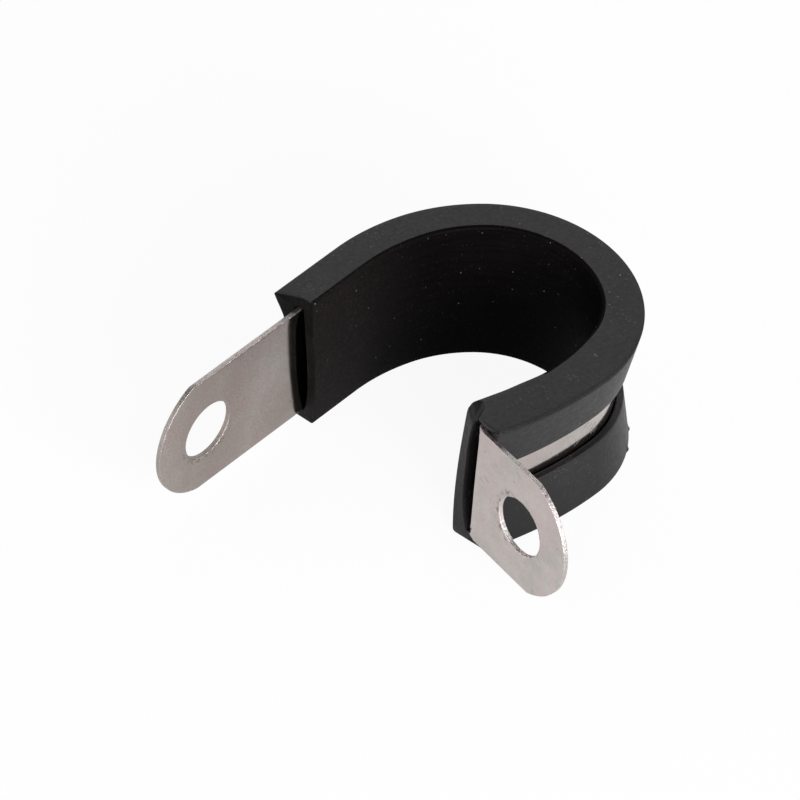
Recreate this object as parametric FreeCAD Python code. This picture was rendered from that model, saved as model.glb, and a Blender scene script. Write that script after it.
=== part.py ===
import FreeCAD, Part
import math
import os

# Rubber-lined P clip, lying on the side of its loop.
# All sizes are in millimetres and degrees.
#
# The origin is the centre of the hole in the straight ear, on the ear's inner face and at
# half the strip's width. +X runs from that hole into the loop, -Y points to the side that
# the loop is on, and +Z runs across the strip.
#
# Both pieces follow one guide line: the inner face of the steel strip, seen along Z. It
# starts at the hole of the straight ear, goes round the loop and folds outwards at the end
# into the second ear. "out" is a distance from this face, away from the loop's inside.

# ---- steel strip ----
STRIP_WIDTH = 15.0
STRIP_THICKNESS = 0.5
EAR_HOLE_DIAMETER = 6.6
EAR_TIP_RADIUS = 8.0
EAR_TIP_REACH = 7.3            # from the hole's centre to the tip of the ear

# ---- guide line, from hole to hole ----
STRAIGHT_LENGTH = 22.2         # from the first hole to the start of the loop
# The open loop, as a radius and a turn for each stretch: slack where it leaves the
# straight ear, tightest far from the ears, and slack again before the fold.
FIRST_RADIUS = 23.7
FIRST_TURN = 19.6
SECOND_RADIUS = 16.4
SECOND_TURN = 25.8
CROWN_RADIUS = 12.94
CROWN_TURN = 81.7
FOURTH_RADIUS = 11.12
FOURTH_TURN = 54.8
LAST_RADIUS = 40.5
LAST_TURN = 16.7
LEG_LENGTH = 2.08              # flat stretch before the fold
FOLD_INNER_RADIUS = 0.9
FOLD_TURN = 95.7
FOLDED_EAR_LENGTH = 7.0        # from the fold to the second hole

# ---- rubber channel ----
SIDE_WALL = 1.25               # rubber beside each edge of the strip
BACK_WALL = 1.05               # rubber between the strip and the clamped pipe
EDGE_CLEARANCE = 0.15          # between an edge of the strip and the side wall
FACE_CLEARANCE = 0.1           # between a face of the strip and the slot
SLOT_BOW = 0.65                # the back wall bows off the strip by this much
BACK_BOW = 0.5                 # and its inner surface is crowned by this much
INNER_BEVEL = 0.35             # between a side face and the inner surface
LIP_REACH = 4.8                # from an edge of the strip over its outer face
LIP_TIP = 0.75                 # thickness of a lip at its tip
LIP_RISE = 1.1                 # the lip's outer face rises this much to the corner
LIP_ROOT = 0.4                 # how deep the lips' own sweep reaches into the side walls
WALL_TOP = 2.1                 # and how far out the side walls' sweep reaches into them
# The back wall hugs the pipe more closely than the strip does. On the far side of the loop
# the strip stands off it, until both meet again at the leg.
CROWN_STANDOFF = 0.54          # the wall's crown is this much tighter
EARLY_TURN = 13.0              # the wall leaves its fourth stretch this much sooner
UPPER_LIP_SLACK = 1.9          # extra radius of the upper lip there: it lifts off the strip
UPPER_LIP_LIFT = 0.25          # it also lifts at the straight ear, and settles by the crown

# ---- ends of the rubber ----
# Both ends are cut a little askew. A length is to where the cut meets the guide line.
FIRST_END_LOWER = 15.5         # from the first hole, at the lower side face
FIRST_END_BEND = 13.9          # the same, where the cut leaves its plane
FIRST_END_BEND_HEIGHT = 4.5
FIRST_END_UPPER = 13.95        # the same, at the upper side face
FIRST_END_SLANT = 29.0         # the upper corner of the lip is drawn out by this angle
SECOND_END_LOWER = 1.15        # past the end of the leg, at the lower side face
SECOND_END_UPPER = 0.8
SECOND_END_SLANT = -17.0       # the back wall is left longer than the lips

LOOP = [
    (FIRST_RADIUS, FIRST_TURN),
    (SECOND_RADIUS, SECOND_TURN),
    (CROWN_RADIUS, CROWN_TURN),
    (FOURTH_RADIUS, FOURTH_TURN),
    (LAST_RADIUS, LAST_TURN),
]
SLOT_HALF = STRIP_WIDTH / 2 + EDGE_CLEARANCE
CHANNEL_HALF = SLOT_HALF + SIDE_WALL
SLOT_INNER = -FACE_CLEARANCE
SLOT_OUTER = STRIP_THICKNESS + FACE_CLEARANCE
CUT_MARGIN = 1.0               # how far a cutting shape reaches past what it cuts
UP = FreeCAD.Vector(0, 0, 1)


class Station:
    """A place on the guide line, with the heading of the strip there."""

    def __init__(self, x, y, heading):
        self.x = x
        self.y = y
        self.heading = heading

    def along(self):
        turn = math.radians(self.heading)
        return FreeCAD.Vector(math.cos(turn), math.sin(turn), 0)

    def outward(self):
        return UP.cross(self.along())

    def point(self, out, z, ahead=0.0):
        base = FreeCAD.Vector(self.x, self.y, z)
        return base + self.outward() * out + self.along() * ahead

    def forward(self, length):
        spot = self.point(0, 0, length)
        return Station(spot.x, spot.y, self.heading)

    def shifted(self, out):
        spot = self.point(out, 0)
        return Station(spot.x, spot.y, self.heading)

    def turned(self, radius, turn):
        """After an arc. A positive turn closes the loop, a negative one opens it."""
        side = math.copysign(radius, turn)
        centre = self.point(-side, 0)
        end = Station(centre.x, centre.y, self.heading - turn)
        spot = end.point(side, 0)
        return Station(spot.x, spot.y, end.heading)


def after(station, arcs):
    for radius, turn in arcs:
        station = station.turned(radius, turn)
    return station


# ---- places that both pieces share ----
FIRST_HOLE = Station(0, 0, 0)
LOOP_START = FIRST_HOLE.forward(STRAIGHT_LENGTH)
LEG_START = after(LOOP_START, LOOP)
LEG_END = LEG_START.forward(LEG_LENGTH)
FOLD_END = LEG_END.turned(FOLD_INNER_RADIUS + STRIP_THICKNESS, -FOLD_TURN)
SECOND_HOLE = FOLD_END.forward(FOLDED_EAR_LENGTH)


def closing_radii(start, turns, end):
    """Radii of two arcs that make these turns and lead from one station to another."""
    first, second = turns
    between = Station(0, 0, start.heading - first)
    first_chord = Station(0, 0, start.heading).turned(1, first).point(0, 0)
    second_chord = between.turned(1, second).point(0, 0)
    whole = end.point(0, 0) - start.point(0, 0)
    spread = first_chord.cross(second_chord).z
    return whole.cross(second_chord).z / spread, first_chord.cross(whole).z / spread


def back_wall_loop():
    """The strip's loop, with the back wall's own stretches from the crown on."""
    arcs = LOOP[:2] + [(CROWN_RADIUS - CROWN_STANDOFF, CROWN_TURN)]
    turns = (FOURTH_TURN - EARLY_TURN, LAST_TURN + EARLY_TURN)
    radii = closing_radii(after(LOOP_START, arcs), turns, LEG_START)
    return arcs + list(zip(radii, turns))


def upper_lip_loop(start):
    """The upper lip's own stretches up to the crown and in the fourth one."""
    turns = (FIRST_TURN, SECOND_TURN)
    radii = closing_radii(start, turns, after(LOOP_START, LOOP[:2]))
    fourth = (FOURTH_RADIUS + UPPER_LIP_SLACK, FOURTH_TURN)
    return list(zip(radii, turns)) + [LOOP[2], fourth, LOOP[4]]


def line_between(first, second):
    return Part.LineSegment(first, second).toShape()


def arc_through(first, middle, second):
    return Part.Arc(first, middle, second).toShape()


def strip_face(out):
    """One face of the strip seen along Z, from tip to tip, as edges at z = 0."""

    def line(start, end):
        return line_between(start.point(out, 0), end.point(out, 0))

    def arc(start, radius, turn):
        middle = start.turned(radius, turn / 2)
        end = start.turned(radius, turn)
        return arc_through(start.point(out, 0), middle.point(out, 0), end.point(out, 0))

    edges = [line(FIRST_HOLE.forward(-EAR_TIP_REACH), LOOP_START)]
    here = LOOP_START
    for radius, turn in LOOP:
        edges.append(arc(here, radius, turn))
        here = here.turned(radius, turn)
    edges.append(line(LEG_START, LEG_END))
    edges.append(arc(LEG_END, FOLD_INNER_RADIUS + STRIP_THICKNESS, -FOLD_TURN))
    edges.append(line(FOLD_END, SECOND_HOLE.forward(EAR_TIP_REACH)))
    return edges


def cylinder_across(hole, ahead, radius):
    """A cylinder through the strip at an ear, square to its faces."""
    length = 10 * STRIP_THICKNESS
    start = hole.point(-length / 2, 0, ahead)
    return Part.makeCylinder(radius, length, start, hole.outward())


def ear_cutter(hole, away):
    """What is cut from an ear: the corners outside its round tip, and its hole.

    away is +1 where the guide line runs towards the tip and -1 where it comes from it.
    """
    centre = away * (EAR_TIP_REACH - EAR_TIP_RADIUS)
    depth = 10 * STRIP_THICKNESS
    reach = EAR_TIP_RADIUS + CUT_MARGIN
    block = Part.makeBox(reach, depth, 2 * reach, FreeCAD.Vector(0, -depth / 2, -reach))
    heading = hole.heading if away > 0 else hole.heading + 180
    block.rotate(FreeCAD.Vector(0, 0, 0), UP, heading)
    block.translate(hole.point(0, 0, centre))
    corners = block.cut(cylinder_across(hole, centre, EAR_TIP_RADIUS))
    return corners.fuse(cylinder_across(hole, 0, EAR_HOLE_DIAMETER / 2))


def make_strap():
    """One bent strip of steel: its side view, drawn across the width, then punched."""
    tips = []
    for hole, away in ((FIRST_HOLE, -1), (SECOND_HOLE, 1)):
        tip = hole.forward(away * EAR_TIP_REACH)
        tips.append(line_between(tip.point(0, 0), tip.point(STRIP_THICKNESS, 0)))
    edges = strip_face(0) + strip_face(STRIP_THICKNESS) + tips
    outline = Part.Wire(Part.__sortEdges__(edges))
    strip = Part.Face(outline).extrude(UP * STRIP_WIDTH)
    strip.translate(UP * (-STRIP_WIDTH / 2))
    strip = strip.cut(ear_cutter(FIRST_HOLE, -1))
    strip = strip.cut(ear_cutter(SECOND_HOLE, 1))
    return strip.removeSplitter()


def polyline(station, corners):
    points = [station.point(out, z) for out, z in corners]
    return [line_between(first, second) for first, second in zip(points, points[1:])]


def trough_section(station):
    """Back and side walls of the rubber: a trough that the strip lies in."""
    back_middle = SLOT_INNER - SLOT_BOW - BACK_WALL
    back_edge = back_middle + BACK_BOW
    bevel_start = CHANNEL_HALF - INNER_BEVEL
    edges = [
        arc_through(station.point(SLOT_INNER, SLOT_HALF),
                    station.point(SLOT_INNER - SLOT_BOW, 0),
                    station.point(SLOT_INNER, -SLOT_HALF)),
        arc_through(station.point(back_edge, bevel_start),
                    station.point(back_middle, 0),
                    station.point(back_edge, -bevel_start)),
    ]
    for side in (-1, 1):
        edges += polyline(station, [
            (back_edge, side * bevel_start),
            (back_edge + INNER_BEVEL, side * CHANNEL_HALF),
            (WALL_TOP, side * CHANNEL_HALF),
            (WALL_TOP, side * SLOT_HALF),
            (SLOT_INNER, side * SLOT_HALF),
        ])
    return Part.Wire(Part.__sortEdges__(edges))


def lip_section(station, side):
    """A lip over the strip's outer face, on one side, with the top of its side wall."""
    tip_z = STRIP_WIDTH / 2 - LIP_REACH
    tip_out = SLOT_OUTER + LIP_TIP
    root_out = SLOT_OUTER - LIP_ROOT
    corners = [
        (root_out, side * CHANNEL_HALF),
        (tip_out + LIP_RISE, side * CHANNEL_HALF),
        (tip_out, side * tip_z),
        (SLOT_OUTER, side * tip_z),
        (SLOT_OUTER, side * SLOT_HALF),
        (root_out, side * SLOT_HALF),
    ]
    return Part.Wire(polyline(station, corners + corners[:1]))


def lower_lip_section(station):
    return lip_section(station, -1)


def upper_lip_section(station):
    return lip_section(station, 1)


def swept(section, start, arcs, lead, tail):
    """A section drawn along a straight lead into the loop, its arcs, and a straight tail."""
    pieces = [Part.Face(section(start.forward(-lead))).extrude(start.along() * lead)]
    here = start
    for radius, turn in arcs:
        pieces.append(Part.Face(section(here)).revolve(here.point(-radius, 0), -UP, turn))
        here = here.turned(radius, turn)
    pieces.append(Part.Face(section(here)).extrude(here.along() * tail))
    return pieces


def fold_relief():
    """Room in the rubber for the strip's fold, with the clearances of the slot."""
    corners = [(SLOT_INNER, -SLOT_HALF), (SLOT_OUTER, -SLOT_HALF),
               (SLOT_OUTER, SLOT_HALF), (SLOT_INNER, SLOT_HALF)]
    section = Part.Face(Part.Wire(polyline(LEG_END, corners + corners[:1])))
    centre = LEG_END.point(FOLD_INNER_RADIUS + STRIP_THICKNESS, 0)
    return section.revolve(centre, UP, FOLD_TURN)


def end_cutter(levels, away):
    """What is cut off at one end of the rubber, between levels that run up Z.

    Each level is its height, the station where the cut meets the guide line, and the
    slants of the cut inside and outside that line. A positive slant takes the rubber on
    the outside further than at the guide line. away is +1 where the rubber ends along the
    guide line and -1 where it begins.
    """
    reach = 6.0
    outlines = []
    for z, station, inner_slant, outer_slant in levels:
        inner_ahead = -reach * math.tan(math.radians(inner_slant))
        outer_ahead = reach * math.tan(math.radians(outer_slant))
        corners = [
            station.point(-reach, z, away * inner_ahead),
            station.point(0, z),
            station.point(reach, z, away * outer_ahead),
            station.point(reach, z, away * 2 * reach),
            station.point(-reach, z, away * 2 * reach),
        ]
        outlines.append(Part.makePolygon(corners + corners[:1]))
    return Part.makeLoft(outlines, True, True)


def make_liner():
    """One length of rubber channel, bent round the strip's edges along the loop."""
    spare = 3.0
    lead = STRAIGHT_LENGTH - min(FIRST_END_BEND, FIRST_END_UPPER) + spare
    tail = LEG_LENGTH + max(SECOND_END_LOWER, SECOND_END_UPPER) + spare
    lifted = LOOP_START.shifted(UPPER_LIP_LIFT)
    pieces = swept(trough_section, LOOP_START, back_wall_loop(), lead, tail)
    pieces += swept(lower_lip_section, LOOP_START, LOOP, lead, tail)
    pieces += swept(upper_lip_section, lifted, upper_lip_loop(lifted), lead, tail)
    channel = pieces[0].fuse(pieces[1:]).removeSplitter()
    over = CHANNEL_HALF + CUT_MARGIN
    lower = FIRST_HOLE.forward(FIRST_END_LOWER)
    bend = FIRST_HOLE.forward(FIRST_END_BEND)
    upper = FIRST_HOLE.forward(FIRST_END_UPPER)
    channel = channel.cut(end_cutter([
        (-over, lower, 0, 0),
        (-CHANNEL_HALF, lower, 0, 0),
        (FIRST_END_BEND_HEIGHT, bend, 0, 0),
        (CHANNEL_HALF, upper, 0, FIRST_END_SLANT),
        (over, upper, 0, FIRST_END_SLANT),
    ], -1))
    lower = LEG_END.forward(SECOND_END_LOWER)
    upper = LEG_END.forward(SECOND_END_UPPER)
    channel = channel.cut(end_cutter([
        (-over, lower, SECOND_END_SLANT, SECOND_END_SLANT),
        (over, upper, SECOND_END_SLANT, SECOND_END_SLANT),
    ], 1))
    return channel.cut(fold_relief())


def save(shape, name):
    if not shape.isValid():
        raise ValueError(name + " is not a valid solid")
    shape.exportStep("parts/" + name + ".step")
    box = shape.optimalBoundingBox(False)
    print(name, len(shape.Solids), "solid,", round(shape.Volume, 1), "mm3,",
          [round(v, 2) for v in (box.XMin, box.XMax, box.YMin, box.YMax, box.ZMin, box.ZMax)])


os.makedirs("parts", exist_ok=True)
save(make_strap(), "strap")
save(make_liner(), "liner")
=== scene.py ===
import math

import bmesh
import bpy
from mathutils import Matrix, Vector


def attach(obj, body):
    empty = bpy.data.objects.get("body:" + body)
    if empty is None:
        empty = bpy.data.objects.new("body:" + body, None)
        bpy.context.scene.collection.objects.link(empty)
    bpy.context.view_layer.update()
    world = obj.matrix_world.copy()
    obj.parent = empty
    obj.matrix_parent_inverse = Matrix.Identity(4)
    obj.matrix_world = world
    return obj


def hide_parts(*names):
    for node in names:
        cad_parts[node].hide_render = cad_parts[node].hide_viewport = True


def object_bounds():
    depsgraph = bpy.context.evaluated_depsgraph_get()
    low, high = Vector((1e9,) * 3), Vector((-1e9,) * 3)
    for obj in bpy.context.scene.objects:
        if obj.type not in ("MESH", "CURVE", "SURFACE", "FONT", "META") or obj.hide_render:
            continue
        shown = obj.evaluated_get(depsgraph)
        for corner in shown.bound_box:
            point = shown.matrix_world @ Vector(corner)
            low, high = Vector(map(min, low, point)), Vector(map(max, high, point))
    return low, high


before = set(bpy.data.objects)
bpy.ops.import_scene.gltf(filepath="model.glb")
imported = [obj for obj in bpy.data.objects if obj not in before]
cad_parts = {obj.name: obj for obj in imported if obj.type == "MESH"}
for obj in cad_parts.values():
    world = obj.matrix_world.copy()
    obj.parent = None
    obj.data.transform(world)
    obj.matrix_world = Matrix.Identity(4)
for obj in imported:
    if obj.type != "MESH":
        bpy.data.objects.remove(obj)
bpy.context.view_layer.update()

MM = 0.001

# ---------------------------------------------------------------- sizes, as in the CAD (mm)
STRIP_HALF = 7.5
THICKNESS = 0.5
HOLE_RADIUS = 3.3
TIP_RADIUS = 8.0
TIP_REACH = 7.3
TIP_CENTRE = TIP_RADIUS - TIP_REACH    # from a hole's centre to the centre of its tip arc
STRAIGHT = 22.2
LOOP = [(23.7, 19.6), (16.4, 25.8), (12.94, 81.7), (11.12, 54.8), (40.5, 16.7)]
LEG = 2.08
FOLD_RADIUS = 0.9 + THICKNESS  # of the strip's inner face, which is outside in the fold
FOLD_TURN = 95.7
EAR = 7.0

CROWN_STANDOFF = 0.54
EARLY_TURN = 13.0
UPPER_SLACK = 1.9
UPPER_LIFT = 0.25
SIDE_WALL = 1.25
EDGE_CLEARANCE = 0.15
FACE_CLEARANCE = 0.1
SLOT_HALF = STRIP_HALF + EDGE_CLEARANCE
HALF = SLOT_HALF + SIDE_WALL
SLOT_IN = -FACE_CLEARANCE
SLOT_OUT = THICKNESS + FACE_CLEARANCE
SLOT_BOW = 0.65
BACK_WALL = 1.05
BACK_BOW = 0.5
LIP_REACH = 4.8
LIP_TIP = 0.75
LIP_RISE = 1.1
TIP_Z = STRIP_HALF - LIP_REACH
FIRST_LOWER = 15.5
FIRST_BEND = 13.9
FIRST_BEND_Z = 4.5
FIRST_UPPER = 13.95
FIRST_SLANT = math.tan(math.radians(29.0))

# ---------------------------------------------------------------- ends of the rubber (mm)
# The second end is finer here than the CAD's flat cut, and it stays inside the CAD's box.
DRAWN_FROM = FIRST_BEND_Z - 1.5    # at the first end the upper corner is drawn out from here up,
DRAWN_FULL = HALF + 1.0            # and would be drawn out in full here
SECOND_LOWER = 1.05
SECOND_LOWER_SLANT = math.tan(math.radians(-19.5))
SECOND_UPPER = 1.5             # at the upper side's foremost place, which is
SECOND_UPPER_OUT = 1.3         # this far out from the strip's inner face
LIP_BEND = 0.12                # how fast the upper side falls back from there, towards the lip
WALL_BEND = 0.037              # and towards the inside of the loop
SIDE_AHEAD = 0.92              # of the upper side's end beside the strip's edge
WORN_CORNER = 1.35             # rounded corner of the back wall at the second end
WORN_OUT = (-0.4, 0.9)         # between these places, going out, it fades away
LEAN_OUT = (-0.3, 0.2)         # and the upper side begins to lean back to the strip's edge
EDGE_MARGIN = 0.05             # how far inside the slot's end a place is clear of the strip's edge
LIP_MARGIN = 0.3               # how far inside the slot's outer face the ear still stops the rubber
FOLD_MARGIN = 0.03             # extra room in the rubber where the strip folds away

# ---------------------------------------------------------------- finish of the rubber (mm)
SLOT_FLATNESS = 3.2            # how flat the slot's bowed wall is between its corners
TIP_ROUND = 0.3
LIP_FOOT_ROUND = 0.16
OUTER_ROUND = 0.09
SLOT_ROUND = 0.12
INNER_ROUND = 0.42             # of the edge between the side and the inside of the loop
BELOW_CORNER = 2.0             # a wall's slant at its corner is taken from this far down
BELOW_SLOT = 0.5
FLARE = 0.3                    # how much thicker the back wall is towards the second end
FLARE_LENGTH = 9.0
CREASE_OFFSET = 0.08           # a crease beside the upper lip's outer edge
CREASE_WIDTH = 0.06
CREASE_DEPTH = 0.14
CREASE_LENGTH = 38.0
CREASE_FADE = 8.0              # it deepens over this length
END_BEVEL = 0.07
BURRS = ((57.9, 0.22), (60.5, 0.21))   # places along the strip, and heights, on the lower edge
BURR_SPREAD = 0.24
SHINY_END = 6.0                # before the leg, where the rounded inner edge stops getting the painted shade of the low-shine copy

# numbers of the rubber's materials
OUTSIDE = 0
SHADED_CUT = 1                        # painted shade: a low-shine copy of the rubber that renders dark, on the cut face of the first end and on the broken edges of both
SHADED = 2                       # painted shade: a low-shine copy of the rubber that renders dark, on the inside of the loop and in the crease
WORN = 3                       # the cut face of the second end

# ---------------------------------------------------------------- finish of the steel (mm)
TIP_ASIDE = 0.3                # how far the first ear's tip is punched off the middle line
BROKEN_EDGE = 0.05

# ---------------------------------------------------------------- fineness of the meshes
TOLERANCE = 0.01               # for comparing places (mm)
LEAD_STEPS = 24                # rows of rubber along the straight ear
LOOP_STEP = 0.24               # length of a row round the loop (mm)
TAIL_STEPS = 9                 # rows along the leg
PATH_OVERRUN = 8.0             # how far a traced path runs on past the loop (mm)
TIP_STEPS = 5                  # chords in each round corner of the section
OUTER_STEPS = 4
SLOT_STEPS = 2
INNER_STEPS = 7
FACE_STEPS = 10                # chords along a lip's face
SIDE_STEPS = 4                 # from its outer edge to the slot's outer face
UNDER_STEPS = 3                # from the slot's inner face to the inner edge
WALL_STEPS = 16                # from the inner edge to the middle of the back wall
EAR_REACH = 9.0                # from a hole to where the ear's ring of faces ends (mm)
COLUMNS = 12                   # faces across half the strip
EAR_SIDE_STEPS = 10
EAR_TIP_STEPS = 26
# shares of the way from a hole's edge to the ear's edge, and of the strip's thickness
RING_SHARES = (0.0, 0.04, 0.1, 0.2, 0.32, 0.46, 0.6, 0.74, 0.86, 0.94, 1.0)
RIM_LEVELS = (0.0, 0.35, 0.7, 1.0)
STRAIGHT_FACE = 1.2            # longest face along the straight ear, the bent run and the fold (mm)
BENT_FACE = 0.5
FOLD_FACE = 0.12


# ---------------------------------------------------------------- guide line
class Station:
    """A place on the guide line, with the heading of the strip there."""

    def __init__(self, x, y, heading):
        self.x = x
        self.y = y
        self.heading = heading

    def along(self):
        a = math.radians(self.heading)
        return Vector((math.cos(a), math.sin(a), 0.0))

    def outward(self):
        a = math.radians(self.heading)
        return Vector((-math.sin(a), math.cos(a), 0.0))

    def point(self, out, z, ahead=0.0):
        return Vector((self.x, self.y, z)) + self.outward() * out + self.along() * ahead

    def forward(self, length):
        p = self.point(0.0, 0.0, length)
        return Station(p.x, p.y, self.heading)

    def turned(self, radius, turn):
        side = math.copysign(radius, turn)
        c = self.point(-side, 0.0)
        end = Station(c.x, c.y, self.heading - turn)
        p = end.point(side, 0.0)
        return Station(p.x, p.y, end.heading)


def after(station, arcs):
    for radius, turn in arcs:
        station = station.turned(radius, turn)
    return station


def closing_radii(start, turns, end):
    """Radii of two arcs that make these turns and lead from one station to another."""
    first, second = turns
    between = Station(0.0, 0.0, start.heading - first)
    first_chord = Station(0.0, 0.0, start.heading).turned(1.0, first).point(0.0, 0.0)
    second_chord = between.turned(1.0, second).point(0.0, 0.0)
    whole = end.point(0.0, 0.0) - start.point(0.0, 0.0)
    spread = first_chord.cross(second_chord).z
    return whole.cross(second_chord).z / spread, first_chord.cross(whole).z / spread


LOOP_START = Station(STRAIGHT, 0.0, 0.0)
LEG_START = after(LOOP_START, LOOP)
LEG_END = LEG_START.forward(LEG)
LIFTED = Station(STRAIGHT, UPPER_LIFT, 0.0)
UPPER_TURNS = (LOOP[0][1], LOOP[1][1])
UPPER_LOOP = list(zip(closing_radii(LIFTED, UPPER_TURNS, after(LOOP_START, LOOP[:2])), UPPER_TURNS))
UPPER_LOOP += [LOOP[2], (LOOP[3][0] + UPPER_SLACK, LOOP[3][1]), LOOP[4]]
BACK_LOOP = LOOP[:2] + [(LOOP[2][0] - CROWN_STANDOFF, LOOP[2][1])]
BACK_TURNS = (LOOP[3][1] - EARLY_TURN, LOOP[4][1] + EARLY_TURN)
BACK_LOOP += list(zip(closing_radii(after(LOOP_START, BACK_LOOP), BACK_TURNS, LEG_START), BACK_TURNS))

LOOP_LENGTH = sum(radius * math.radians(turn) for radius, turn in LOOP)
FOLD_LENGTH = FOLD_RADIUS * math.radians(FOLD_TURN)
LEG_START_AT = STRAIGHT + LOOP_LENGTH
LEG_END_AT = LEG_START_AT + LEG
FOLD_END_AT = LEG_END_AT + FOLD_LENGTH
SECOND_HOLE_AT = FOLD_END_AT + EAR
CREASE_FROM = LEG_START_AT - CREASE_LENGTH


def traced(start, arcs):
    """A path of short chords from the straight ear round the loop and past its end."""
    path = [start.point(0.0, 0.0, -STRAIGHT)]
    here = start
    for radius, turn in arcs:
        steps = math.ceil(turn)
        path += [here.turned(radius, turn * k / steps).point(0.0, 0.0) for k in range(steps)]
        here = here.turned(radius, turn)
    path += [here.point(0.0, 0.0), here.point(0.0, 0.0, PATH_OVERRUN)]
    return path


def stand_off(station, path):
    """How far out from a station its normal meets a traced path."""
    origin = station.point(0.0, 0.0)
    along = station.along()
    outward = station.outward()
    nearest = None
    for a, b in zip(path, path[1:]):
        da = (a - origin).dot(along)
        db = (b - origin).dot(along)
        if da * db > 0.0 or da == db:
            continue
        out = (a.lerp(b, da / (da - db)) - origin).dot(outward)
        if nearest is None or abs(out) < abs(nearest):
            nearest = out
    return nearest


def smooth(edge0, edge1, x):
    t = min(max((x - edge0) / (edge1 - edge0), 0.0), 1.0)
    return t * t * (3.0 - 2.0 * t)


# ---------------------------------------------------------------- rubber channel
def fillet(before, corner, after_, radius, steps):
    """Points of a round corner between two straight runs."""
    here = Vector(corner)
    back = (Vector(before) - here).normalized()
    onward = (Vector(after_) - here).normalized()
    half = back.angle(onward) / 2.0
    centre = here + (back + onward).normalized() * (radius / math.sin(half))
    first = here + back * (radius / math.tan(half)) - centre
    last = here + onward * (radius / math.tan(half)) - centre
    sweep = -first.angle_signed(last)
    points = []
    for k in range(steps + 1):
        a = sweep * k / steps
        points.append(centre + Vector((first.x * math.cos(a) - first.y * math.sin(a),
                                       first.x * math.sin(a) + first.y * math.cos(a))))
    return points


def run(start, end, steps):
    """Points strictly between two ends of a straight run."""
    return [Vector(start).lerp(Vector(end), k / steps) for k in range(1, steps)]


def back_face(z):
    """Where the inside of the loop lies, out from the strip's inner face."""
    return SLOT_IN - SLOT_BOW - BACK_WALL + BACK_BOW * (z / HALF) ** 2


def slot_face(z):
    """Where the slot's bowed wall lies, out from the strip's inner face."""
    return SLOT_IN - SLOT_BOW * (1.0 - (abs(z) / SLOT_HALF) ** SLOT_FLATNESS)


def half_section():
    """The upper half of the channel's section, as rungs from its outside to its inside.

    A rung is a pair of (out, z) places. Rungs that share an end close in a triangle.
    The bottom of the crease is given beside them.
    """
    tip = Vector((SLOT_OUT + LIP_TIP, TIP_Z))
    tip_low = Vector((SLOT_OUT, TIP_Z))
    corner = Vector((SLOT_OUT + LIP_TIP + LIP_RISE, HALF))
    inner_corner = Vector((back_face(HALF), HALF))
    slot_out = Vector((SLOT_OUT, SLOT_HALF))
    slot_in = Vector((SLOT_IN, SLOT_HALF))
    below_corner = Vector((back_face(HALF - BELOW_CORNER), HALF - BELOW_CORNER))
    below_slot = Vector((slot_face(SLOT_HALF - BELOW_SLOT), SLOT_HALF - BELOW_SLOT))
    middle = tip.lerp(tip_low, 0.5)

    tip_round = fillet(middle, tip, corner, TIP_ROUND, TIP_STEPS)
    low_round = fillet(middle, tip_low, slot_out, LIP_FOOT_ROUND, TIP_STEPS)
    corner_round = fillet(tip, corner, inner_corner, OUTER_ROUND, OUTER_STEPS)
    slot_out_round = fillet(tip_low, slot_out, slot_in, SLOT_ROUND, SLOT_STEPS)
    slot_in_round = fillet(slot_out, slot_in, below_slot, SLOT_ROUND, SLOT_STEPS)
    inner_round = fillet(corner, inner_corner, below_corner, INNER_ROUND, INNER_STEPS)

    face_end = tip.lerp(corner, (SLOT_HALF - TIP_Z) / (HALF - TIP_Z))
    side_out = Vector((SLOT_OUT, HALF))
    side_in = Vector((SLOT_IN, HALF))
    # the face of the lip, then the three places across the crease, then the outer edge
    rungs = list(zip(tip_round, low_round))
    face = run(tip_round[-1], face_end, FACE_STEPS)
    rungs += list(zip(face, run(low_round[-1], slot_out_round[0], FACE_STEPS)))
    down_face = (face_end - corner_round[0]).normalized()
    crease = [corner_round[0] + down_face * (CREASE_OFFSET + CREASE_WIDTH * k) for k in (1, 0, -1)]
    outside = [face_end] + run(face_end, crease[0], 2) + crease + corner_round
    outside += run(corner_round[-1], side_out, SIDE_STEPS)
    rungs += [(p, slot_out_round[0]) for p in outside]
    rungs += [(side_out, p) for p in slot_out_round]
    rungs.append((side_out.lerp(side_in, 0.5), slot_out_round[-1].lerp(slot_in_round[0], 0.5)))
    rungs += [(side_in, p) for p in slot_in_round]
    rungs += [(p, slot_in_round[-1]) for p in run(side_in, inner_round[0], UNDER_STEPS)]
    rungs += [(p, slot_in_round[-1]) for p in inner_round]
    for k in range(1, WALL_STEPS + 1):
        z_back = inner_round[-1].y * (1.0 - k / WALL_STEPS)
        z_slot = slot_in_round[-1].y * (1.0 - k / WALL_STEPS)
        rungs.append((Vector((back_face(z_back), z_back)), Vector((slot_face(z_slot), z_slot))))
    return rungs, crease[1]


def channel_section():
    """Places round the whole section, its rungs as pairs of their numbers, and the crease's number."""
    top, crease = half_section()
    bottom = [(Vector((a.x, -a.y)), Vector((b.x, -b.y))) for a, b in reversed(top[:-1])]
    places = []
    numbers = {}
    rungs = []
    for rung in top + bottom:
        pair = []
        for p in rung:
            key = (round(p.x, 5), round(p.y, 5))
            if key not in numbers:
                numbers[key] = len(places)
                places.append(Vector(key))
            pair.append(numbers[key])
        if not rungs or tuple(pair) != rungs[-1]:
            rungs.append(tuple(pair))
    return places, rungs, numbers[(round(crease.x, 5), round(crease.y, 5))]


def first_end(out, z):
    """How far from the first hole the rubber starts, at a place in its section."""
    t = (z + HALF) / (FIRST_BEND_Z + HALF)
    level = FIRST_LOWER + (FIRST_BEND - FIRST_LOWER) * min(t, 1.0)
    if z > FIRST_BEND_Z:
        level = FIRST_BEND + (FIRST_UPPER - FIRST_BEND) * (z - FIRST_BEND_Z) / (HALF - FIRST_BEND_Z)
    drawn = FIRST_SLANT * smooth(DRAWN_FROM, DRAWN_FULL, z) * max(out, 0.0)
    return level - drawn


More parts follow.
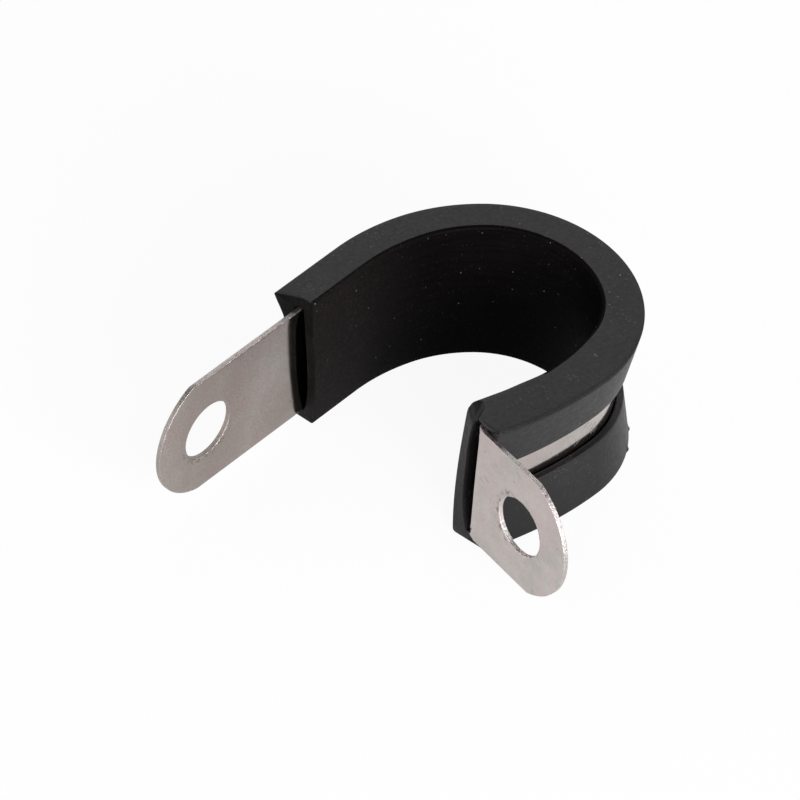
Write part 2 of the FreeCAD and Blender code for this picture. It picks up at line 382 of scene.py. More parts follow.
def ear_face(out):
    """How far past the leg the folded ear's near face lies, beyond the fold."""
    ear = LEG_END.turned(FOLD_RADIUS, -FOLD_TURN)
    lean = math.radians(FOLD_TURN - 90.0)
    foot = ear.point(THICKNESS, 0.0) - LEG_END.point(0.0, 0.0)
    foot_ahead = foot.dot(LEG_END.along())
    foot_out = foot.dot(LEG_END.outward())
    return foot_ahead - math.tan(lean) * (out - foot_out)


def second_end(out, z):
    """How far past the leg the rubber ends, at a place in its section."""
    t = (z + HALF) / (2.0 * HALF)
    lower = SECOND_LOWER + SECOND_LOWER_SLANT * out
    drop = out - SECOND_UPPER_OUT
    upper = SECOND_UPPER - (LIP_BEND if drop > 0.0 else WALL_BEND) * drop ** 2
    ahead = lower + (upper - lower) * t
    # the worn corner of the back wall
    past = max(z - HALF + WORN_CORNER, 0.0)
    worn = WORN_CORNER - math.sqrt(WORN_CORNER ** 2 - past ** 2)
    ahead -= worn * (1.0 - smooth(*WORN_OUT, out))
    # the upper side leans back to the strip's edge
    if z > SLOT_HALF - EDGE_MARGIN:
        side = SIDE_AHEAD + (SECOND_UPPER - SIDE_AHEAD) * (z - SLOT_HALF) / (HALF - SLOT_HALF)
        ahead += (min(ahead, side) - ahead) * smooth(*LEAN_OUT, out)
    # the lips stop at the ear and give way to the fold
    beside_strip = abs(z) < SLOT_HALF - EDGE_MARGIN
    if beside_strip and out > SLOT_OUT - LIP_MARGIN:
        ahead = min(ahead, ear_face(out) - FACE_CLEARANCE)
    inside = FOLD_RADIUS - THICKNESS - FACE_CLEARANCE - FOLD_MARGIN
    if beside_strip and SLOT_OUT - TOLERANCE < out < FOLD_RADIUS:
        ahead = min(ahead, math.sqrt(max(inside ** 2 - (FOLD_RADIUS - out) ** 2, 0.0)))
    return ahead


def channel_rows(places, crease):
    """The section's places in every row along the rubber, and how far along each of them is."""
    back_path = traced(LOOP_START, BACK_LOOP)
    upper_path = traced(LIFTED, UPPER_LOOP)
    lower_edge = Vector((SLOT_OUT + LIP_TIP + LIP_RISE, -HALF))

    def section(station, run_at):
        """Every place of the section at a station, as (out, z), with its own stand-off."""
        back = stand_off(station, back_path)
        upper = stand_off(station, upper_path)
        flare = FLARE * smooth(LEG_END_AT - FLARE_LENGTH, LEG_END_AT - FLARE_LENGTH / 2.0, run_at)
        creased = CREASE_DEPTH * smooth(CREASE_FROM, CREASE_FROM + CREASE_FADE, run_at)
        burr = sum(size * math.exp(-((run_at - at) / BURR_SPREAD) ** 2) for at, size in BURRS)
        result = []
        for number, place in enumerate(places):
            p = place.copy()
            if number == crease:
                p.x -= creased
            p.x += burr * math.exp(-((place - lower_edge).length / BURR_SPREAD) ** 2)
            p.x -= flare * (1.0 - smooth(back_face(HALF), SLOT_IN, p.x))
            # from the slot's inner face to the lips the walls stretch between the paths
            share = smooth(SLOT_IN, SLOT_OUT, p.x)
            lip = upper if p.y > 0.0 else 0.0
            result.append((p.x + back * (1.0 - share) + lip * share, p.y))
        return result

    rows = []
    runs = []
    spots = section(LOOP_START, STRAIGHT)
    for k in range(LEAD_STEPS):
        t = k / LEAD_STEPS
        xs = [first_end(out, z) * (1.0 - t) + STRAIGHT * t for out, z in spots]
        rows.append([Vector((x, out, z)) for x, (out, z) in zip(xs, spots)])
        runs.append(xs)
    at = STRAIGHT
    here = LOOP_START
    for radius, turn in LOOP:
        length = radius * math.radians(turn)
        steps = math.ceil(length / LOOP_STEP)
        for k in range(1, steps + 1):
            station = here.turned(radius, turn * k / steps)
            run_at = at + length * k / steps
            rows.append([station.point(out, z) for out, z in section(station, run_at)])
            runs.append([run_at] * len(places))
        here = here.turned(radius, turn)
        at += length
    for k in range(1, TAIL_STEPS + 1):
        t = k / TAIL_STEPS
        spots = section(LEG_START, at + LEG * t)
        aheads = [(LEG + second_end(out, z)) * t for out, z in spots]
        rows.append([LEG_START.point(out, z, a) for (out, z), a in zip(spots, aheads)])
        runs.append([at + a for a in aheads])
    return rows, runs


def section_outline(rungs):
    """The numbers of the section's places in the order in which its edge passes them."""
    outline = []
    for side in (0, 1):
        chain = []
        for rung in rungs:
            if not chain or chain[-1] != rung[side]:
                chain.append(rung[side])
        outline += chain if side == 0 else chain[::-1]
    return outline


def side_material(near, far, run_at, on_crease):
    """The number of the material between two neighbouring places of the section."""
    kind = OUTSIDE
    # painted shade: the inside of the loop, its rounded inner edge and the crease take the low-shine
    # copy, so they render dark
    if max(near.x, far.x) < back_face(HALF) + INNER_ROUND + TOLERANCE:
        turned_away = run_at > LEG_START_AT - SHINY_END
        rounded = min(abs(near.y), abs(far.y)) > HALF - INNER_ROUND - TOLERANCE
        kind = OUTSIDE if rounded and turned_away else SHADED
    if on_crease and run_at > CREASE_FROM:
        kind = SHADED
    return kind


def make_liner():
    """The rubber channel: one section carried along the guide line, closed by its two cut ends."""
    places, rungs, crease = channel_section()
    rows, runs = channel_rows(places, crease)
    outline = section_outline(rungs)
    sides = list(zip(outline, outline[1:] + outline[:1]))
    around = {}
    length = 0.0
    for i, j in sides:
        around[i] = length
        length += (places[j] - places[i]).length

    bm = bmesh.new()
    flat_layer = bm.verts.layers.float_vector.new("flat")
    grid = []
    for row, run_at in zip(rows, runs):
        line = []
        for number, p in enumerate(row):
            v = bm.verts.new(p * MM)
            v[flat_layer] = Vector((run_at[number], around[number], places[number].x)) * MM
            line.append(v)
        grid.append(line)
    for number, (a, b) in enumerate(zip(grid, grid[1:])):
        for i, j in sides:
            side = bm.faces.new((a[i], a[j], b[j], b[i]))
            side.material_index = side_material(places[i], places[j], runs[number][i], crease in (i, j))
    for line, kind in ((grid[0], SHADED_CUT), (grid[-1], WORN)):
        for (a, b), (c, d) in zip(rungs, rungs[1:]):
            corners = [line[n] for n in dict.fromkeys((a, b, d, c))]
            if len(corners) > 2:
                bm.faces.new(corners).material_index = kind
    bmesh.ops.recalc_face_normals(bm, faces=bm.faces)
    # only the edges round a cut face are broken
    weight = bm.edges.layers.float.new("bevel_weight_edge")
    for edge in bm.edges:
        kinds = {face.material_index for face in edge.link_faces}
        edge[weight] = float(bool(kinds & {SHADED_CUT, WORN}) and len(kinds) == 2)
    piece = new_piece("rubber_channel", bm)
    # painted shade: the broken edges of both ends take the low-shine copy, so they show no glint
    soften(piece, END_BEVEL, 2, "WEIGHT").material = SHADED_CUT
    return piece


def new_piece(name, bm):
    """A smooth-shaded object from a finished bmesh."""
    mesh = bpy.data.meshes.new(name)
    bm.to_mesh(mesh)
    bm.free()
    piece = bpy.data.objects.new(name, mesh)
    bpy.context.scene.collection.objects.link(piece)
    for face in mesh.polygons:
        face.use_smooth = True
    return piece


def soften(piece, width, segments, limit):
    """Rounds the piece's sharp edges and keeps its smooth shading clean."""
    bevel = piece.modifiers.new("edges", "BEVEL")
    bevel.width = width * MM
    bevel.segments = segments
    bevel.limit_method = limit
    bevel.angle_limit = math.radians(50.0)
    bevel.use_clamp_overlap = True
    weighted = piece.modifiers.new("normals", "WEIGHTED_NORMAL")
    weighted.keep_sharp = True
    return bevel


# ---------------------------------------------------------------- steel strip
def strip_station(s):
    """The place on the guide line at a developed distance from the first hole."""
    if s <= STRAIGHT:
        return Station(s, 0.0, 0.0)
    run_left = s - STRAIGHT
    here = LOOP_START
    for radius, turn in LOOP:
        length = radius * math.radians(turn)
        if run_left <= length:
            return here.turned(radius, turn * run_left / length)
        run_left -= length
        here = here.turned(radius, turn)
    if run_left <= LEG:
        return LEG_START.forward(run_left)
    run_left -= LEG
    if run_left <= FOLD_LENGTH:
        return LEG_END.turned(FOLD_RADIUS, -FOLD_TURN * run_left / FOLD_LENGTH)
    return LEG_END.turned(FOLD_RADIUS, -FOLD_TURN).forward(run_left - FOLD_LENGTH)


def half_ear(columns, aside):
    """Half of an ear's edge round its hole, from the strip's middle line to the tip's.

    The tip arc's centre lies off the middle line, by aside.
    """
    meets_side = TIP_CENTRE - math.sqrt(TIP_RADIUS ** 2 - (STRIP_HALF - aside) ** 2)
    points = [(EAR_REACH, z) for z in columns]
    for k in range(1, EAR_SIDE_STEPS + 1):
        points.append((EAR_REACH + (meets_side - EAR_REACH) * k / EAR_SIDE_STEPS, STRIP_HALF))
    start = math.atan2(STRIP_HALF - aside, meets_side - TIP_CENTRE)
    end = math.pi + math.asin(aside / TIP_RADIUS)
    for k in range(1, EAR_TIP_STEPS + 1):
        a = start + (end - start) * k / EAR_TIP_STEPS
        points.append((TIP_CENTRE + TIP_RADIUS * math.cos(a), aside + TIP_RADIUS * math.sin(a)))
    return points


def ear_ring(columns, aside):
    """The whole edge of an ear round its hole."""
    other_half = half_ear(columns, -aside)
    return half_ear(columns, aside) + [(x, -z) for x, z in reversed(other_half[1:-1])]


def strip_stops():
    """Where the strip is divided along its length, between its two ears' rings."""
    marks = [STRAIGHT]
    for radius, turn in LOOP:
        marks.append(marks[-1] + radius * math.radians(turn))
    marks += [LEG_END_AT, SECOND_HOLE_AT - EAR_REACH]
    stops = [EAR_REACH]
    for mark in marks:
        start = stops[-1]
        length = mark - start
        if length <= 0.0:
            continue
        longest = STRAIGHT_FACE
        if start >= STRAIGHT - TOLERANCE:
            longest = BENT_FACE
        if start >= LEG_END_AT - TOLERANCE:
            longest = FOLD_FACE
        n = max(1, math.ceil(length / longest))
        stops += [start + length * k / n for k in range(1, n + 1)]
    return stops


def rim_distances(s, z):
    """How far a place on the flat strip lies from a hole's edge and from the strip's own edge."""
    to_hole = min(math.hypot(s, z), math.hypot(s - SECOND_HOLE_AT, z)) - HOLE_RADIUS
    to_edge = STRIP_HALF - abs(z)
    if s < 0.0:
        to_edge = min(to_edge, TIP_RADIUS - math.hypot(s - TIP_CENTRE, z - TIP_ASIDE))
    if s > SECOND_HOLE_AT:
        to_edge = min(to_edge, TIP_RADIUS - math.hypot(s - SECOND_HOLE_AT + TIP_CENTRE, z))
    return to_hole, to_edge


def make_strip():
    """The punched strip, drawn flat as two skins and a rim, then bent round the loop."""
    bm = bmesh.new()
    columns = [STRIP_HALF * k / COLUMNS for k in range(COLUMNS + 1)]
    all_columns = [-z for z in reversed(columns[1:])] + columns
    stops = strip_stops()
    cache = {}

    def vert(s, z, level):
        key = (round(s, 4), round(z, 4), level)
        if key not in cache:
            cache[key] = bm.verts.new((s, z, level))
        return cache[key]

    def ear(centre, direction, ring, level):
        lines = []
        for x, z in ring:
            length = math.hypot(x, z)
            rim = (x * HOLE_RADIUS / length, z * HOLE_RADIUS / length)
            line = []
            for t in RING_SHARES:
                px = rim[0] + (x - rim[0]) * t
                pz = rim[1] + (z - rim[1]) * t
                line.append(vert(centre + direction * px, pz, level))
            lines.append(line)
        for a, b in zip(lines, lines[1:] + lines[:1]):
            for k in range(len(RING_SHARES) - 1):
                bm.faces.new((a[k], b[k], b[k + 1], a[k + 1]))

    for level in (0.0, 1.0):
        ear(0.0, 1.0, ear_ring(columns, TIP_ASIDE), level)
        ear(SECOND_HOLE_AT, -1.0, ear_ring(columns, 0.0), level)
        for a, b in zip(stops, stops[1:]):
            for z0, z1 in zip(all_columns, all_columns[1:]):
                bm.faces.new((vert(a, z0, level), vert(b, z0, level),
                              vert(b, z1, level), vert(a, z1, level)))
    # rims: every open edge of the lower skin is joined to its twin on the upper one
    for edge in [e for e in bm.edges if e.is_boundary and e.verts[0].co.z == 0.0]:
        (s0, z0, _), (s1, z1, _) = (v.co.copy() for v in edge.verts)
        for low, high in zip(RIM_LEVELS, RIM_LEVELS[1:]):
            bm.faces.new((vert(s0, z0, low), vert(s1, z1, low), vert(s1, z1, high), vert(s0, z0, high)))
    bmesh.ops.recalc_face_normals(bm, faces=bm.faces)

    flat_layer = bm.verts.layers.float_vector.new("flat")
    rim_layer = bm.verts.layers.float_vector.new("rim")
    for v in bm.verts:
        s, z, level = v.co
        v[flat_layer] = Vector((s * MM, z * MM, level * THICKNESS * MM))
        v[rim_layer] = Vector((*rim_distances(s, z), 0.0))
        v.co = strip_station(s).point(level * THICKNESS, z) * MM
    piece = new_piece("steel_strip", bm)
    soften(piece, BROKEN_EDGE, 3, "ANGLE")
    return piece


# ---------------------------------------------------------------- material helpers
class Nodes:
    """Short names for building the node tree of a material or of the world."""

    def __init__(self, owner, output):
        owner.use_nodes = True
        self.owner = owner
        self.tree = owner.node_tree
        self.tree.nodes.clear()
        self.output = self.tree.nodes.new(output)

    def add(self, kind, **values):
        node = self.tree.nodes.new(kind)
        for key, value in values.items():
            setattr(node, key, value)
        return node

    def link(self, source, target):
        self.tree.links.new(source, target)

    def feed(self, socket, value):
        if isinstance(value, bpy.types.NodeSocket):
            self.link(value, socket)
        else:
            socket.default_value = value

    def math(self, operation, a, b=0.0, c=0.0, clamp=False):
        node = self.add("ShaderNodeMath", operation=operation, use_clamp=clamp)
        for socket, value in zip(node.inputs, (a, b, c)):
            self.feed(socket, value)
        return node.outputs[0]

    def mapped(self, vector, scale):
        node = self.add("ShaderNodeMapping")
        self.link(vector, node.inputs["Vector"])
        node.inputs["Scale"].default_value = scale
        return node.outputs[0]

    def noise(self, vector, scale, detail=2.0, rough=0.5, distortion=0.0):
        node = self.add("ShaderNodeTexNoise")
        self.link(vector, node.inputs["Vector"])
        node.inputs["Scale"].default_value = scale
        node.inputs["Detail"].default_value = detail
        node.inputs["Roughness"].default_value = rough
        node.inputs["Distortion"].default_value = distortion
        return node.outputs["Fac"]

    def spots(self, vector, scale, size, share, dimensions="3D"):
        """Round spots: one in each chosen cell, with a radius that is a share of the cell."""
        node = self.add("ShaderNodeTexVoronoi", voronoi_dimensions=dimensions)
        self.link(vector, node.inputs["Vector"])
        node.inputs["Scale"].default_value = scale
        dot = self.ramp(node.outputs["Distance"], size, size * 0.35)
        draw = self.separate(node.outputs["Color"], 0)
        picked = self.ramp(draw, 1.0 - share, 1.0 - share + 0.01)
        strength = self.ramp(self.separate(node.outputs["Color"], 1), 0.0, 1.0, 0.35, 1.0)
        return self.math("MULTIPLY", self.math("MULTIPLY", dot, picked), strength)

    def axis(self, vector, number):
        node = self.add("ShaderNodeSeparateXYZ")
        self.link(vector, node.inputs[0])
        return node.outputs[number]

    def separate(self, colour, channel):
        node = self.add("ShaderNodeSeparateColor")
        self.link(colour, node.inputs[0])
        return node.outputs[channel]

    def warped(self, vector, scale, amount):
        """The place moved about by noise, so that what is drawn there gets a ragged outline."""
        noise = self.add("ShaderNodeTexNoise")
        self.link(vector, noise.inputs["Vector"])
        noise.inputs["Scale"].default_value = scale
        centred = self.add("ShaderNodeVectorMath", operation="SUBTRACT")
        self.link(noise.outputs["Color"], centred.inputs[0])
        centred.inputs[1].default_value = (0.5, 0.5, 0.5)
        moved = self.add("ShaderNodeVectorMath", operation="MULTIPLY_ADD")
        self.link(centred.outputs[0], moved.inputs[0])
        moved.inputs[1].default_value = (amount, amount, amount)
        self.link(vector, moved.inputs[2])
        return moved.outputs[0]

    def ramp(self, value, low, high, from_=0.0, to=1.0):
        """A smooth step: from_ where the value is low, to where it is high."""
        node = self.add("ShaderNodeMapRange", interpolation_type="SMOOTHSTEP")
        self.feed(node.inputs["Value"], value)
        for name, number in (("From Min", low), ("From Max", high), ("To Min", from_), ("To Max", to)):
            node.inputs[name].default_value = number
        return node.outputs["Result"]

    def mix(self, factor, a, b, blend="MIX"):
        node = self.add("ShaderNodeMix", data_type="RGBA", blend_type=blend)
        self.feed(node.inputs[0], factor)
        self.feed(node.inputs[6], a)
        self.feed(node.inputs[7], b)
        return node.outputs[2]

    def bump(self, height, strength, distance, normal=None):
        node = self.add("ShaderNodeBump")
        node.inputs["Strength"].default_value = strength
        node.inputs["Distance"].default_value = distance
        self.link(height, node.inputs["Height"])
        if normal is not None:
            self.link(normal, node.inputs["Normal"])
        return node.outputs["Normal"]

    def attribute(self, name):
        return self.add("ShaderNodeAttribute", attribute_name=name)

    def finish(self, **inputs):
        shader = self.add("ShaderNodeBsdfPrincipled")
        for key, value in inputs.items():
            self.feed(shader.inputs[key.replace("_", " ")], value)
        self.link(shader.outputs[0], self.output.inputs["Surface"])
        return self.owner


def new_material(name):
    return Nodes(bpy.data.materials.new(name), "ShaderNodeOutputMaterial")


# ---------------------------------------------------------------- colours and finishes
RUBBER_DARK = (0.0017, 0.0014, 0.0014, 1)
RUBBER_STREAK = (0.0028, 0.0022, 0.0023, 1)
# pale haze, and painted light on the inside of the loop by the first end
RUBBER_HAZE_AND_PAINTED_LIGHT = (0.0125, 0.0102, 0.0104, 1)
DUST = (0.42, 0.41, 0.4, 1)
STEEL_WARM = (0.552, 0.46, 0.456, 1)
STEEL_COOL = (0.468, 0.443, 0.41, 1)
STEEL_PALE = (0.568, 0.515, 0.502, 1)
STEEL_SPECK = (0.43, 0.385, 0.36, 1)
STEEL_BRIGHT = (0.64, 0.615, 0.60, 1)
# painted shade for the first ear
STEEL_PAINTED_SHADE = (0.60, 0.555, 0.53, 1)
STEEL_RIM = (0.24, 0.21, 0.195, 1)
STEEL_STAIN = (0.2, 0.165, 0.145, 1)
STEEL_SCRATCH = (0.27, 0.235, 0.21, 1)
SCRATCH_ANGLE = math.radians(28.0)
# name, shine and the share of painted light and dust by the first end, in the order of the numbers
# OUTSIDE, SHADED_CUT, SHADED and WORN; the low shine of the cut and inside copies is painted shade
RUBBERS = (("black_rubber", 0.34, 0.0), ("shaded_cut_black_rubber", 0.07, 0.0),
           ("shaded_black_rubber", 0.02, 1.0), ("worn_black_rubber", 0.34, 0.0))


# ---------------------------------------------------------------- materials
def rubber_material(name, shine, painted_light_and_dust):
    """Black extruded rubber with drawn streaks, mottling and dust.

    shine is how strongly it mirrors; the last argument is how much the inside of the loop is painted
    paler towards the first end, a painted light, and how much dust gathers there. The haze is turned
    down on the inside of the loop, a painted shade.
    """
    n = new_material(name)
    place = n.add("ShaderNodeTexCoord").outputs["Object"]
    flat = n.attribute("flat").outputs["Vector"]
    streaks = n.noise(n.mapped(flat, (90.0, 2600.0, 0.0)), 1.0, 3.0, 0.55)
    cloud = n.noise(place, 190.0, 4.0, 0.6)
    fine = n.noise(place, 5200.0, 3.0, 0.6)
    grain = n.noise(place, 1900.0, 4.0, 0.62)
    # dust: pale specks of three sizes, the small ones gathered in patches
    ragged = n.warped(flat, 9000.0, 0.00022)
    patch = n.ramp(n.noise(place, 210.0, 3.0, 0.6), 0.44, 0.68)
    inside = n.ramp(n.axis(flat, 2), -0.0008, -0.0012)
    # by the first end the inside of the loop gathers dust and is painted paler there, a painted light
    first_end_light_and_dust = n.math("MULTIPLY", n.ramp(n.axis(flat, 0), 0.033, 0.017, 0.0, painted_light_and_dust), inside)
    patch = n.math("MULTIPLY", patch, n.math("MULTIPLY_ADD", inside, -0.75, 1.0))
    gathered = n.ramp(n.noise(place, 420.0, 3.0, 0.6), 0.45, 0.62, 0.0, 0.4)
    patch = n.math("MAXIMUM", patch, n.math("MULTIPLY", first_end_light_and_dust, gathered))
    tiny = n.math("MULTIPLY", n.spots(ragged, 3300.0, 0.30, 0.34, "2D"), patch)
    small = n.math("MULTIPLY", n.spots(ragged, 1700.0, 0.17, 0.22, "2D"),
                   n.math("MULTIPLY_ADD", patch, 0.8, 0.2))
    large = n.spots(ragged, 480.0, 0.05, 0.14, "2D")
    dust = n.math("MAXIMUM", n.math("MULTIPLY", tiny, 0.12), n.math("MULTIPLY", small, 0.2))
    dust = n.math("MAXIMUM", dust, n.math("MULTIPLY", large, 0.5))
    dust = n.math("MULTIPLY", dust, n.math("MULTIPLY_ADD", inside, -0.4, 1.0))
    # painted shade: the haze is turned down on the inside of the loop, so the inside renders darker;
    # painted light: by the first end the inside is painted paler
    haze_with_painted_shade = n.math("MULTIPLY", n.ramp(cloud, 0.38, 0.72), n.math("MULTIPLY_ADD", inside, -0.42, 0.52))
    haze_with_painted_light_and_shade = n.math("MAXIMUM", haze_with_painted_shade, n.math("MULTIPLY", first_end_light_and_dust, 0.8))
    haze_with_painted_light_and_shade = n.math("MULTIPLY", haze_with_painted_light_and_shade, n.ramp(fine, 0.38, 0.62, 0.35, 1.0))
    colour = n.mix(n.ramp(streaks, 0.3, 0.7), RUBBER_DARK, RUBBER_STREAK)
    colour = n.mix(haze_with_painted_light_and_shade, colour, RUBBER_HAZE_AND_PAINTED_LIGHT)
    colour = n.mix(dust, colour, DUST)
    rough = n.ramp(grain, 0.25, 0.75, 0.40, 0.52)
    normal = n.bump(grain, 0.5, 0.00006)
    normal = n.bump(streaks, 0.25, 0.00004, normal)
    normal = n.bump(dust, 0.5, 0.00005, normal)
    return n.finish(Base_Color=colour, Roughness=rough, Normal=normal, Specular_IOR_Level=shine)


def steel_material():
    """Satin stainless strip with a rolled grain, pits, scratches and rough punched edges."""
    n = new_material("satin_stainless")
    place = n.add("ShaderNodeTexCoord").outputs["Object"]
    flat = n.attribute("flat").outputs["Vector"]
    rim = n.attribute("rim").outputs["Vector"]
    along = n.axis(flat, 0)
    across = n.axis(flat, 1)
    to_hole = n.axis(rim, 0)
    to_side = n.axis(rim, 1)
    grain = n.noise(n.mapped(flat, (260.0, 5200.0, 0.0)), 1.0, 4.0, 0.6)
    speckle = n.noise(place, 3600.0, 3.0, 0.6)
    mottle = n.noise(place, 420.0, 5.0, 0.62)
    tint = n.noise(place, 130.0, 4.0, 0.6, 0.4)
    ragged = n.warped(place, 4200.0, 0.0004)
    pit = n.spots(ragged, 1100.0, 0.17, 0.22)
    # torn metal beside the punched holes, and the bright sheared edges
    jagged = n.math("MULTIPLY_ADD", n.noise(place, 2600.0, 4.0, 0.7), 0.5, -0.25)
    near_hole = n.math("ADD", to_hole, jagged)
    near_side = n.math("ADD", to_side, jagged)
    worn = n.ramp(near_hole, 0.2, -0.02)
    worn = n.math("MAXIMUM", worn, n.math("MULTIPLY", n.ramp(near_side, 0.16, -0.04), 0.7))
    torn = n.math("MULTIPLY", n.ramp(near_hole, 1.0, 0.3), n.ramp(near_hole, 0.02, 0.14))
    torn = n.math("MULTIPLY", torn, n.ramp(n.noise(ragged, 1500.0, 4.0, 0.7), 0.50, 0.58))
    by_fold = n.ramp(along, (SECOND_HOLE_AT - 1.0) * MM, (SECOND_HOLE_AT - 2.4) * MM)
    by_first = n.math("MULTIPLY", n.ramp(along, 0.03, 0.01), n.ramp(across, 0.0, -0.002))
    beside = n.math("MULTIPLY", by_fold, n.ramp(along, 0.03, 0.05))
    torn = n.math("MULTIPLY", torn, n.math("MAXIMUM", beside, by_first))
    slanted = n.add("ShaderNodeVectorRotate", rotation_type="Z_AXIS")
    n.link(flat, slanted.inputs["Vector"])
    slanted.inputs["Angle"].default_value = SCRATCH_ANGLE
    scratch = n.spots(n.mapped(slanted.outputs[0], (420.0, 3600.0, 0.0)), 1.0, 0.28, 0.3, "2D")
    scratch = n.math("MULTIPLY", scratch, n.ramp(n.noise(place, 240.0, 3.0, 0.6), 0.5, 0.6))
    crumbs = n.noise(place, 5200.0, 4.0, 0.7)
    # warm and cool patches, darker specks, and painted shade that darkens the first ear
    colour = n.mix(n.ramp(tint, 0.40, 0.60), STEEL_WARM, STEEL_COOL)
    colour = n.mix(n.ramp(mottle, 0.3, 0.75), colour, STEEL_PALE)
    speckled = n.math("MULTIPLY", n.ramp(speckle, 0.4, 0.65), n.ramp(along, 0.07, 0.02, 0.3, 0.75))
    colour = n.mix(speckled, colour, STEEL_SPECK)
    bright = n.math("MULTIPLY", worn, n.ramp(crumbs, 0.35, 0.65, 0.15, 0.9))
    colour = n.mix(bright, colour, STEEL_BRIGHT)
    # painted shade: the first ear is darkened around its hole and towards its lower edge, standing in
    # for its darker reflection
    painted_ear_shade = n.math("MULTIPLY", n.ramp(along, 0.012, 0.003, 0.3, 0.95),
                  n.ramp(along, -0.0068, -0.001, 0.72, 1.0))
    corner = n.math("MULTIPLY", n.ramp(across, 0.006, -0.005, 0.0, 0.9), n.ramp(along, 0.003, 0.008))
    painted_ear_shade = n.math("MAXIMUM", painted_ear_shade, corner)
    painted_ear_shade = n.math("MULTIPLY", painted_ear_shade, n.ramp(along, 0.022, 0.016))
    painted_ear_shade = n.math("MULTIPLY", painted_ear_shade, n.ramp(tint, 0.40, 0.6, 1.0, 0.86))
    painted_ear_shade = n.math("MULTIPLY", painted_ear_shade, n.ramp(to_side, 0.0, 0.12, 0.2, 1.0))
    colour = n.mix(painted_ear_shade, colour, STEEL_PAINTED_SHADE, "MULTIPLY")
    first_rim = n.math("MULTIPLY", n.ramp(to_side, 0.08, 0.0), n.ramp(along, -0.001, -0.003))
    colour = n.mix(n.math("MULTIPLY", first_rim, 0.5), colour, STEEL_RIM)
    colour = n.mix(n.math("MULTIPLY", pit, 0.6), colour, STEEL_STAIN)
    colour = n.mix(n.math("MULTIPLY", torn, 0.8), colour, STEEL_STAIN)
    colour = n.mix(n.math("MULTIPLY", scratch, 0.6), colour, STEEL_SCRATCH)
    rough = n.ramp(mottle, 0.25, 0.8, 0.13, 0.09)
    rough = n.math("ADD", rough, n.math("MULTIPLY", worn, 0.4))
    rough = n.math("ADD", rough, n.math("MULTIPLY", n.math("MAXIMUM", pit, torn), 0.25), clamp=True)
    normal = n.bump(grain, 0.12, 0.00003)
    normal = n.bump(speckle, 0.10, 0.00003, normal)
    normal = n.bump(n.math("MULTIPLY", worn, crumbs), 0.8, 0.0002, normal)
    normal = n.bump(n.math("ADD", scratch, torn), 0.4, 0.00005, normal)
    return n.finish(Base_Color=colour, Roughness=rough, Normal=normal, Metallic=1.0)


# ---------------------------------------------------------------- build
strip = make_strip()
channel = make_liner()
strip.data.materials.append(steel_material())
for name, shine, painted_light_and_dust in RUBBERS:
    channel.data.materials.append(rubber_material(name, shine, painted_light_and_dust))
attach(strip, "root")
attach(channel, "root")
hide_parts("strap")
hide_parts("liner")

# ---------------------------------------------------------------- floor, light, camera
SEEN_WHITE = 0.93              # how much of the floor is plain white as the camera sees it,
MIRRORED_WHITE = 0.45          # and as the steel mirrors it
FLOOR_COLOUR = (0.9, 0.9, 0.9, 1)
FLOOR_HALF = 3.0               # metres
FLOOR_GAP = 0.00002            # below the lowest point of the part
PLAIN_WHITE = (1, 1, 1, 1)
STUDIO_EDGE = (0.42, 0.72)     # heights between which the world's low light gives way
STUDIO_LIGHT = (1.5, 0.05)     # its strength below and above them
DIM_SIDE = (0.8, 0.6, 0.0)     # the side on which it is dimmed
DIM_EDGE = (0.2, 0.8)
DIM_LIGHT = (1.0, 0.4)
LIT_PLACE = (0.018, -0.018, 0.0)
# name, place and size in metres, power in watts
LAMPS = (("back", (0.45, 0.32, 0.52), (0.7, 0.5), 1.4),
         ("front", (-0.25, -0.59, 0.24), (0.5, 0.3), 5.7))
AZIMUTH = math.radians(53.05)
ELEVATION = math.radians(43.06)
ROLL = math.radians(-5.10)
DEPTH = 0.607                  # metres from the camera to the first hole, along the line of sight
AIM_RIGHT = 19.45              # the view's middle lies this far right of the first hole (mm)
AIM_UP = 3.016                 # and this far above it, as the camera sees them
LENS = 270.0
SENSOR = 36.0


def floor_material():
    """Pale and matt, with a share of plain white that the camera sees and the steel mirrors."""
    n = new_material("floor_white")
    diffuse = n.add("ShaderNodeBsdfDiffuse")
    diffuse.inputs["Color"].default_value = FLOOR_COLOUR
    glow = n.add("ShaderNodeEmission")
    glow.inputs["Color"].default_value = PLAIN_WHITE
    glow.inputs["Strength"].default_value = 1.0
    ray = n.add("ShaderNodeLightPath").outputs
    mirrored = n.math("MAXIMUM", ray["Is Glossy Ray"], ray["Is Transmission Ray"])
    white = n.math("MAXIMUM", n.math("MULTIPLY", ray["Is Camera Ray"], SEEN_WHITE),
                   n.math("MULTIPLY", mirrored, MIRRORED_WHITE))
    blend = n.add("ShaderNodeMixShader")
    n.link(white, blend.inputs[0])
    n.link(diffuse.outputs[0], blend.inputs[1])
    n.link(glow.outputs[0], blend.inputs[2])
    n.link(blend.outputs[0], n.output.inputs["Surface"])
    return n.owner


def make_floor(level):
    mesh = bpy.data.meshes.new("floor")
    corners = [(-FLOOR_HALF, -FLOOR_HALF, 0), (FLOOR_HALF, -FLOOR_HALF, 0),
               (FLOOR_HALF, FLOOR_HALF, 0), (-FLOOR_HALF, FLOOR_HALF, 0)]
    mesh.from_pydata(corners, [], [(0, 1, 2, 3)])
    mesh.materials.append(floor_material())
    ground = bpy.data.objects.new("floor", mesh)
    ground.location.z = level - FLOOR_GAP
    bpy.context.scene.collection.objects.link(ground)
    return ground


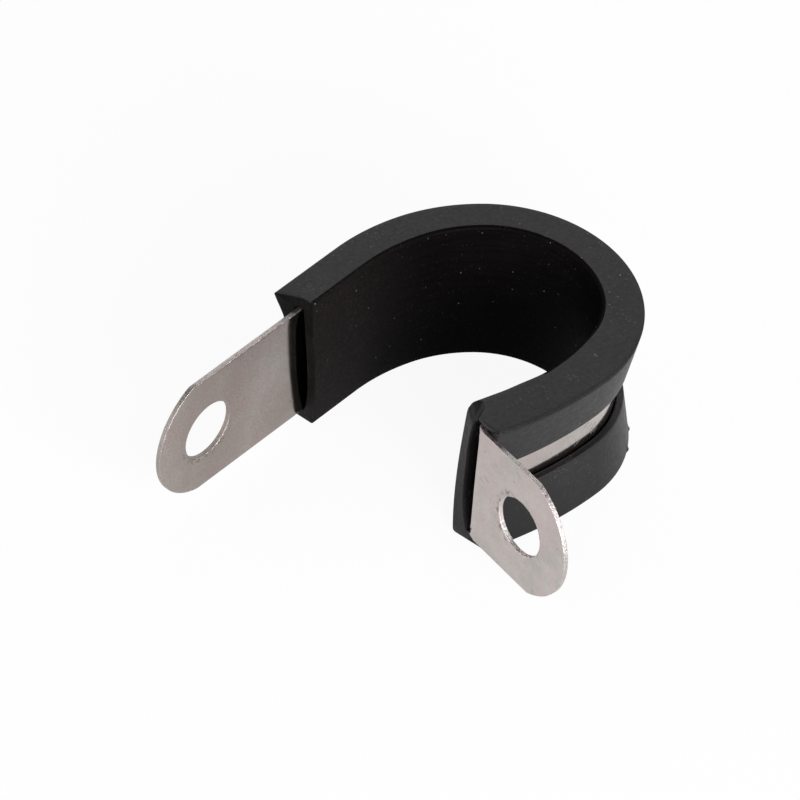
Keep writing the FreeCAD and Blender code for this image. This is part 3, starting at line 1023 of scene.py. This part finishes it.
def make_studio():
    """A round studio: bright low down on all sides, dimmer on one of them, dark overhead."""
    n = Nodes(bpy.data.worlds.new("studio"), "ShaderNodeOutputWorld")
    direction = n.add("ShaderNodeTexCoord").outputs["Generated"]
    low_light = n.ramp(n.axis(direction, 2), *STUDIO_EDGE, *STUDIO_LIGHT)
    towards = n.add("ShaderNodeVectorMath", operation="DOT_PRODUCT")
    n.link(direction, towards.inputs[0])
    towards.inputs[1].default_value = DIM_SIDE
    dimmed = n.math("MULTIPLY", low_light, n.ramp(towards.outputs["Value"], *DIM_EDGE, *DIM_LIGHT))
    seen = n.add("ShaderNodeLightPath").outputs["Is Camera Ray"]
    sky = n.add("ShaderNodeBackground")
    sky.inputs["Color"].default_value = PLAIN_WHITE
    n.link(n.math("MAXIMUM", seen, dimmed), sky.inputs["Strength"])
    n.link(sky.outputs[0], n.output.inputs["Surface"])
    return n.owner


def softbox(name, place, size, power):
    light = bpy.data.lights.new(name, "AREA")
    light.shape = "RECTANGLE"
    light.size, light.size_y = size
    light.energy = power
    lamp = bpy.data.objects.new(name, light)
    lamp.location = place
    aim = Vector(LIT_PLACE) - Vector(place)
    lamp.rotation_euler = aim.to_track_quat("-Z", "Y").to_euler()
    bpy.context.scene.collection.objects.link(lamp)


def make_camera():
    """The camera, from the part's own frame: where it looks, how it is rolled, how far it is."""
    forward = Vector((0.0, math.cos(ELEVATION), -math.sin(ELEVATION)))
    down = Vector((0.0, -math.sin(ELEVATION), -math.cos(ELEVATION)))
    right = Vector((1.0, 0.0, 0.0))
    image_right = right * math.cos(ROLL) + down * math.sin(ROLL)
    image_down = down * math.cos(ROLL) - right * math.sin(ROLL)
    hole = forward * DEPTH + (image_down * AIM_UP - image_right * AIM_RIGHT) * MM
    turn_back = Matrix.Rotation(-AZIMUTH, 3, "Z")
    data = bpy.data.cameras.new("camera")
    data.lens = LENS
    data.sensor_width = SENSOR
    data.clip_start = 0.01
    camera = bpy.data.objects.new("camera", data)
    axes = [turn_back @ image_right, turn_back @ -image_down, turn_back @ -forward]
    rotation = Matrix(axes).transposed().to_4x4()
    camera.matrix_world = Matrix.Translation(turn_back @ -hole) @ rotation
    bpy.context.scene.collection.objects.link(camera)
    return camera


floor = make_floor(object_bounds()[0][2])
bpy.context.scene.world = make_studio()
for lamp in LAMPS:
    softbox(*lamp)
bpy.context.scene.camera = make_camera()

bpy.context.scene.view_settings.view_transform = "Standard"
